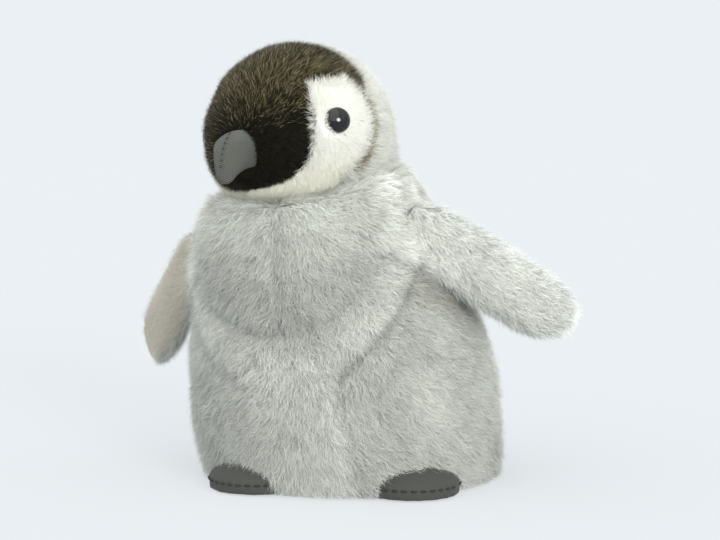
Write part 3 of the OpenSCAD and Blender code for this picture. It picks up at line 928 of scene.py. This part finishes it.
def head_coat(skin, eyes, quick):
    def keep(points, _):
        local = to_head(points)
        gone = local[:, 2] < HEAD_BARE_BELOW
        for spot in eyes:
            gone |= norm(local - spot) < EYE_BARE
        across = local[:, 0] / BEAK_HALF_W
        up = (local[:, 2] - BEAK_MIDDLE) / BEAK_HALF_H
        beak = (np.hypot(across, up) < 1) & (local[:, 1] < 0)
        return np.where(gone | beak, 0.0, 1.0)

    points, normals = scatter(skin, strands_per_mm2("head", quick), seed=22, keep=keep)
    local = to_head(points)
    ragged = local.copy()     # roots near the crown's back border swap sides here and there
    ragged[:, 1] += np.random.default_rng(36).normal(0, 1.3 * MM, len(local)) * (local[:, 1] > 3 * MM)
    colour, in_crown, in_cheek, rim = head_colour(ragged)
    beak_root = np.array([0, -HEAD_R, BEAK_MIDDLE])
    away = unit(local - beak_root)
    flow_local = away * 0.8 + np.array([0, 0.5, -0.35])
    swirl = smooth_noise(points, 16 * MM, 12)[:, None] * np.cross(away, local / HEAD_R) * 0.4
    flow = (flow_local + swirl) @ HEAD.T
    _, cheek, _, _ = head_zones(local)
    fringe = fade(cheek, 5 * MM) * in_cheek
    eye = np.array(eyes)
    nearest = np.where(local[:, :1] > 0, eye[0], eye[1])
    from_eye = unit(local - nearest)
    flow = np.where(in_cheek[:, None], (from_eye + 0.4 * flow_local) @ HEAD.T, flow)
    mirrored = from_eye * np.where(nearest[:, :1] > 0, [1, 1, 1], [-1, 1, 1])
    lash = (mirrored @ LASH_WAY > 0.35) & (norm(local - nearest) < LASH_REACH)
    flow = np.where(lash[:, None], -from_eye @ HEAD.T, flow)
    length = np.full(len(points), HOOD_STRAND)
    length[in_crown] = CROWN_STRAND
    length[in_cheek] = CHEEK_STRAND
    length += FRINGE_EXTRA * fringe
    length[rim] = RIM_STRAND
    nape = grow(-local[:, 2] - 8 * MM, 16 * MM) * ~(in_cheek | in_crown)
    length += NAPE_EXTRA * nape
    near_beak = fade(norm(local - beak_root), BEAK_NEAR)
    length *= 1 - 0.4 * near_beak
    for spot in eyes:
        near_eye = fade(norm(local - spot), EYE_NEAR)
        length *= 1 - 0.35 * near_eye
    lift = np.where(in_cheek, 0.35, np.where(in_crown, 0.52, 0.45))
    lift += 0.12 * smooth_noise(points, 14 * MM, 9)
    lift += 0.35 * nape + 0.2 * fringe
    lift = np.where(lash, 1.0, lift)
    dark = in_crown | rim
    # Pale glint strands on the crown: partly lighter brown strands, partly painted highlight on tips
    # catching the light. There are more of them on the head's -X side as painted side light, and fewer
    # low in the mask.
    above = grow(local[:, 2] - 6 * MM, 18 * MM)
    beside = grow(-local[:, 0] - 12 * MM, 14 * MM)
    chance = GLINT_SHARE * np.maximum(above, beside)
    glint = (np.random.default_rng(35).random(len(points)) < chance) & in_crown
    colour = np.where(glint[:, None], GLINT, colour)
    dark_edge = fade(-cheek, 6 * MM) * in_crown
    length *= 1 - 0.45 * dark_edge
    # shade darkens the roots as painted shade in the pile; tip lightens the ends, partly as tipped
    # colour and partly as painted light
    zones = [glint, in_cheek, dark]     # and the hood everywhere else
    shade = np.select(zones, [0.3, 0.85, 0.3], 0.7)
    tip = np.select(zones, [1.15, 1.0, 1.6], 1.12)
    tone = np.select(zones, [0.2, 0.05, 0.45], 0.12)
    width = np.where(glint, GLINT_W, np.where(dark, CROWN_STRAND_W, HEAD_STRAND_W))
    return lay_pile(points, normals, flow, length, width, lift, colour, seed=32,
                    tuft=1.5 * MM, gather=0.25, tone=tone, shade=shade, tip=tip)


def flipper_coats(skin, side, quick):
    origin, axes = limb_frame(side)
    outer_sign = 1.0 if side == "left" else -1.0

    def place(points, normals):
        """How far along the flipper each point is, and how far it faces the outer side."""
        return ((points - origin) @ axes)[:, 0], (normals @ axes[:, 2]) * outer_sign

    def keep_outer(points, normals):
        along, outward = place(points, normals)
        return np.where((outward > OUTER_EDGE) & (along > -10 * MM), 1.0, 0.0)

    def keep_inner(points, normals):
        along, outward = place(points, normals)
        return np.where((outward <= LINING_EDGE) & (along > -6 * MM), 1.0, 0.0)

    points, normals = scatter(skin, strands_per_mm2("flipper", quick), seed=23, keep=keep_outer)
    flow = axes[:, 0] + smooth_noise(points, 30 * MM, 4)[:, None] * axes[:, 1] * 0.3
    lift = 0.38 + 0.1 * smooth_noise(points, 20 * MM, 6)
    outer = lay_pile(points, normals, flow, FLIPPER_STRAND, STRAND_W, lift, FLIPPER_GREY, seed=33)
    points, normals = scatter(skin, strands_per_mm2("lining", quick), seed=24, keep=keep_inner)
    inner = lay_pile(points, normals, axes[:, 0], LINING_STRAND, STRAND_W, lift=0.7, colour=BEIGE,
                     seed=34, tuft=1.3 * MM, tone=0.06, shade=0.85)
    return outer, inner


# ---- eyes, stitches

def ring(angles, radius, height):
    """Points round the Z axis."""
    level = np.full(len(angles), height)
    return np.stack([radius * np.cos(angles), radius * np.sin(angles), level], axis=1)


def lathe(name, outline, around=48):
    """A turned solid about +Z from (radius, height) points, with a flat cap on each end."""
    angles = np.linspace(0, 2 * math.pi, around, endpoint=False)
    rings = [ring(angles, radius, height) for radius, height in outline]
    return new_object(name, np.concatenate(rings), tube_faces(len(rings), around))


EYE_DOME = 0.72     # the dome's height, as a share of its radius
DOME_STEPS = 12


def make_eye(side, material):
    """A domed safety eye with a thin flange, where the CAD eye stands."""
    cloud = node_points(side + "_eye")
    reach = norm(cloud - head_centre)
    outward = unit(cloud[np.argmax(reach)] - head_centre)
    front = reach.max()
    body_part = cloud[reach > front - 6.5 * MM]
    spread = body_part - head_centre
    spread -= (spread @ outward)[:, None] * outward
    radius = float(norm(spread).max())
    dome = EYE_DOME * radius
    outline = [(0.05 * radius, -2.6 * MM), (radius, -2.5 * MM),
               (radius * 1.02, -1.2 * MM), (radius, -0.4 * MM)]
    for step in range(1, DOME_STEPS + 1):
        a = step / DOME_STEPS * math.pi / 2
        outline.append((max(radius * 0.99 * math.cos(a), 0.02 * radius), dome * math.sin(a)))
    eye = lathe(side + "_eye_dome", outline)
    turn = Vector(outward).to_track_quat("Z", "Y").to_matrix().to_4x4()
    centre = head_centre + outward * (front - dome - 0.2 * MM)
    eye.data.transform(Matrix.Translation(Vector(centre)) @ turn)
    eye.data.materials.append(material)
    return eye, to_head((head_centre + outward * (HEAD_R - HEAD_PILE))[None, :])[0], outward


STITCH_FAT = (0.35, 0.9, 1.0, 0.9, 0.35)     # a stitch's thickness from end to end
STITCH_SIDES = 6


def stitch_row(name, path, normals, material, length, gap, thickness):
    """Short raised stitches along a path of points."""
    steps = norm(np.diff(path, axis=0))
    along = np.concatenate([[0], np.cumsum(steps)])
    count = int(along[-1] // (length + gap))
    points = []
    faces = []

    def along_path(rows, spots):
        return np.stack([np.interp(spots, along, rows[:, k]) for k in range(3)], axis=1)

    for number in range(count):
        start = number * (length + gap) + gap / 2
        spots = np.linspace(start, start + length, len(STITCH_FAT))
        line = along_path(path, spots)
        out = unit(along_path(normals, spots))
        ahead = unit(np.gradient(line, axis=0))
        across = np.cross(out, ahead)
        arch = np.sin(np.linspace(0, math.pi, len(STITCH_FAT)))[:, None] * thickness * 0.5
        line += out * arch
        fat = np.array(STITCH_FAT)[:, None] * thickness / 2
        base = len(points)
        for k in range(len(STITCH_FAT)):
            for a in np.linspace(0, 2 * math.pi, STITCH_SIDES, endpoint=False):
                rim = across[k] * math.cos(a) + out[k] * math.sin(a)
                points.append(line[k] + rim * fat[k])
        faces += tube_faces(len(STITCH_FAT), STITCH_SIDES, base)
    obj = new_object(name, points, faces)
    obj.data.materials.append(material)
    return obj


def foot_stitches(side, skin, material):
    """Stitches round a foot, along the seam ring of the CAD."""
    seam = node_points(side + "_foot_seam")
    middle = (seam.min(axis=0) + seam.max(axis=0)) / 2
    angles = np.linspace(0, 2 * math.pi, 181)
    surface = vertices(skin)
    band = surface[np.abs(surface[:, 2] - middle[2] - 0.8 * MM) < 1.2 * MM]
    turn = np.arctan2(band[:, 1] - middle[1], band[:, 0] - middle[0])
    reach = np.hypot(band[:, 0] - middle[0], band[:, 1] - middle[1])
    order = np.argsort(turn)
    radius = np.interp(angles, turn[order], reach[order], period=2 * math.pi)
    path = middle + ring(angles, radius, 1.0 * MM)
    normals = unit(path - middle + np.array([0, 0, 4 * MM]))
    return stitch_row(side + "_foot_stitches", path, normals, material,
                      length=3.0 * MM, gap=1.4 * MM, thickness=1.0 * MM)


RIDGE_SIDE = 1.6 * MM     # how far the beak's stitches lie from its seam
RIDGE_BAND = 0.9 * MM


def beak_stitches(skin, material):
    """Stitches down the ridge of the beak, a little to one side of its seam."""
    local = to_head(vertices(skin))
    rows = []
    for height in np.linspace(10 * MM, -6 * MM, 30):
        level = np.abs(local[:, 2] - height) < RIDGE_BAND
        band = level & (np.abs(local[:, 0] - RIDGE_SIDE) < RIDGE_BAND)
        if band.any():
            rows.append((RIDGE_SIDE, local[band, 1].min(), height))
    path_local = np.array(rows)
    path_local[1:-1, 1] = (path_local[:-2, 1] + path_local[1:-1, 1] + path_local[2:, 1]) / 3
    path = from_head(path_local)
    normals = unit(path - from_head(np.array([0, -HEAD_R, 4 * MM])))
    return stitch_row("beak_stitches", path, normals, material,
                      length=1.7 * MM, gap=1.1 * MM, thickness=0.7 * MM)


# ---- build

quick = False

cloth = backing_material("backing")
twill_beak = twill_material("twill_beak", linear(71, 73, 67), rib_scale=380, contrast=0.42)
twill_foot = twill_material("twill_foot", linear(53, 54, 50), rib_scale=420, contrast=0.1)
pile = pile_material()
thread = new_material("thread", linear(30, 30, 29), 0.7)[0]
eye_black = new_material("eye_black", (0.003, 0.003, 0.003), 0.05, specular=0.42)[0]

torso_skin = make_torso_skin()
torso_skin.data.materials.append(cloth)
store_colours(torso_skin.data, torso_colour(vertices(torso_skin)) * BACKING_SHADE)
head_skin = make_head_skin()
head_skin.data.materials.append(cloth)
store_colours(head_skin.data, head_colour(to_head(vertices(head_skin)))[0] * HEAD_BACKING_SHADE)
beak_skin = make_beak_skin()
beak_skin.data.materials.append(twill_beak)
beak_local = to_head(vertices(beak_skin))
across_ribs = 0.25 * np.abs(beak_local[:, 0]) + 0.55 * beak_local[:, 1] + 0.8 * beak_local[:, 2]
set_weave(beak_skin, np.stack([across_ribs, beak_local[:, 1], beak_local[:, 0]], axis=1))

eyes, eye_spots, looks = zip(*[make_eye(side, eye_black) for side in SIDES])
torso_pile = split_pile("torso_pile", torso_coat(torso_skin, quick), pile)
head_pile = split_pile("head_pile", head_coat(head_skin, eye_spots, quick), pile)

for piece in [torso_skin] + torso_pile:
    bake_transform(piece)
for piece in [head_skin] + head_pile:
    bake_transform(piece)

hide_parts("base_panel", "belly_panel", "bib_left_panel", "bib_right_panel",
            "left_side_panel", "right_side_panel", "left_back_panel", "right_back_panel",
            "body_stuffing", "pellet_bag", "pellets", "closing_seam")
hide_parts("neck_stuffing", "crown_panel", "left_cheek_panel", "right_cheek_panel",
            "left_hood_panel", "right_hood_panel", "head_stuffing")
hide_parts("beak_left_panel", "beak_right_panel", "beak_under_panel", "beak_stuffing")

for side, eye in zip(SIDES, eyes):
    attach(eye, "head")
    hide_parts(side + "_eye", side + "_eye_washer")
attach(beak_skin, "head")
ridge = beak_stitches(beak_skin, thread)
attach(ridge, "head")

for side in SIDES:
    body = side + "_flipper"
    skin = make_flipper_skin(side)
    skin.data.materials.append(cloth)
    origin, axes = limb_frame(side)
    outward = (vertex_normals(skin) @ axes[:, 2]) * (1 if side == "left" else -1)
    colour = np.where(outward[:, None] > LINING_EDGE, FLIPPER_GREY, BEIGE)
    store_colours(skin.data, colour * BACKING_SHADE)
    outer, inner = flipper_coats(skin, side, quick)
    pieces = [skin]
    pieces += split_pile(body + "_pile", outer, pile)
    pieces += split_pile(body + "_lining", inner, pile)
    for piece in pieces:
        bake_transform(piece)
    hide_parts(body + "_outer", body + "_inner", body + "_stuffing")

for side in SIDES:
    body = side + "_foot"
    skin = make_foot_skin(side)
    skin.data.materials.append(twill_foot)
    set_weave(skin, vertices(skin) @ np.array([[0.8, 0.6, 0], [-0.6, 0.8, 0], [0, 0, 1]]).T)
    stitches = foot_stitches(side, skin, thread)
    for piece in (skin, stitches):
        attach(piece, body)
    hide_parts(body + "_upper", body + "_sole", body + "_stuffing")
    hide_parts(body + "_seam")


# ---- stage

BACKDROP = linear(235, 240, 244)
FLOOR_GLOW = 0.65
FLOOR_TINT = np.array([0.468, 0.480, 0.486]) * (1 - FLOOR_GLOW)


def make_floor():
    size = 40.0
    corners = [(-size, -size, 0), (size, -size, 0), (size, size, 0), (-size, size, 0)]
    floor = new_object("floor", corners, [(0, 1, 2, 3)], smooth=False)
    material, _, _, shader = new_material("floor_paper", FLOOR_TINT, 0.9, specular=0.0)
    set_inputs(shader, {"Emission Color": rgba(BACKDROP), "Emission Strength": FLOOR_GLOW})
    add_bump(material, shader, add_noise(material, 300), strength=0.02, distance=1 * MM)
    floor.data.materials.append(material)


def make_sun(name, back, strength, spread_deg):
    """A distant lamp on the side that back points to: even light over the whole floor."""
    light = bpy.data.lights.new(name, "SUN")
    light.energy = strength
    light.angle = math.radians(spread_deg)
    lamp = add_object(name, light)
    lamp.rotation_euler = Vector([-float(c) for c in back]).to_track_quat("-Z", "Y").to_euler()


def seen_from(round_deg, up_deg):
    """The way towards a lamp or camera, from its angle round from the front and its angle up."""
    a, e = math.radians(round_deg), math.radians(up_deg)
    return (math.sin(a) * math.cos(e), -math.cos(a) * math.cos(e), math.sin(e))


def make_world():
    world = bpy.data.worlds.new("studio")
    world.use_nodes = True
    set_inputs(world.node_tree.nodes["Background"], {"Color": rgba(BACKDROP), "Strength": 1.0})
    bpy.context.scene.world = world


CAMERA_ROUND = 18     # degrees
CAMERA_UP = 4
CAMERA_AWAY = 0.837
CAMERA_SHIFT = 3.3 * MM       # the picture's middle, right of the origin and above it
CAMERA_RISE = 98.75 * MM
LENS = 85


def make_camera():
    back = Vector(seen_from(CAMERA_ROUND, CAMERA_UP))
    right = Vector((math.cos(math.radians(CAMERA_ROUND)), math.sin(math.radians(CAMERA_ROUND)), 0))
    up = back.cross(right)
    camera_data = bpy.data.cameras.new("camera")
    camera_data.lens = LENS
    camera_data.clip_start = 0.01
    camera = add_object("camera", camera_data)
    target = right * CAMERA_SHIFT + up * CAMERA_RISE
    camera.location = target + back * CAMERA_AWAY
    camera.rotation_euler = (-back).to_track_quat("-Z", "Y").to_euler()
    bpy.context.scene.camera = camera


make_floor()
make_world()
make_sun("key", seen_from(35, 45), strength=1.1, spread_deg=110)
make_sun("fill", seen_from(-35, 35), strength=2.6, spread_deg=130)
make_sun("spark", looks[0], strength=3.15, spread_deg=24)
make_camera()
bpy.context.scene.view_settings.view_transform = "Standard"
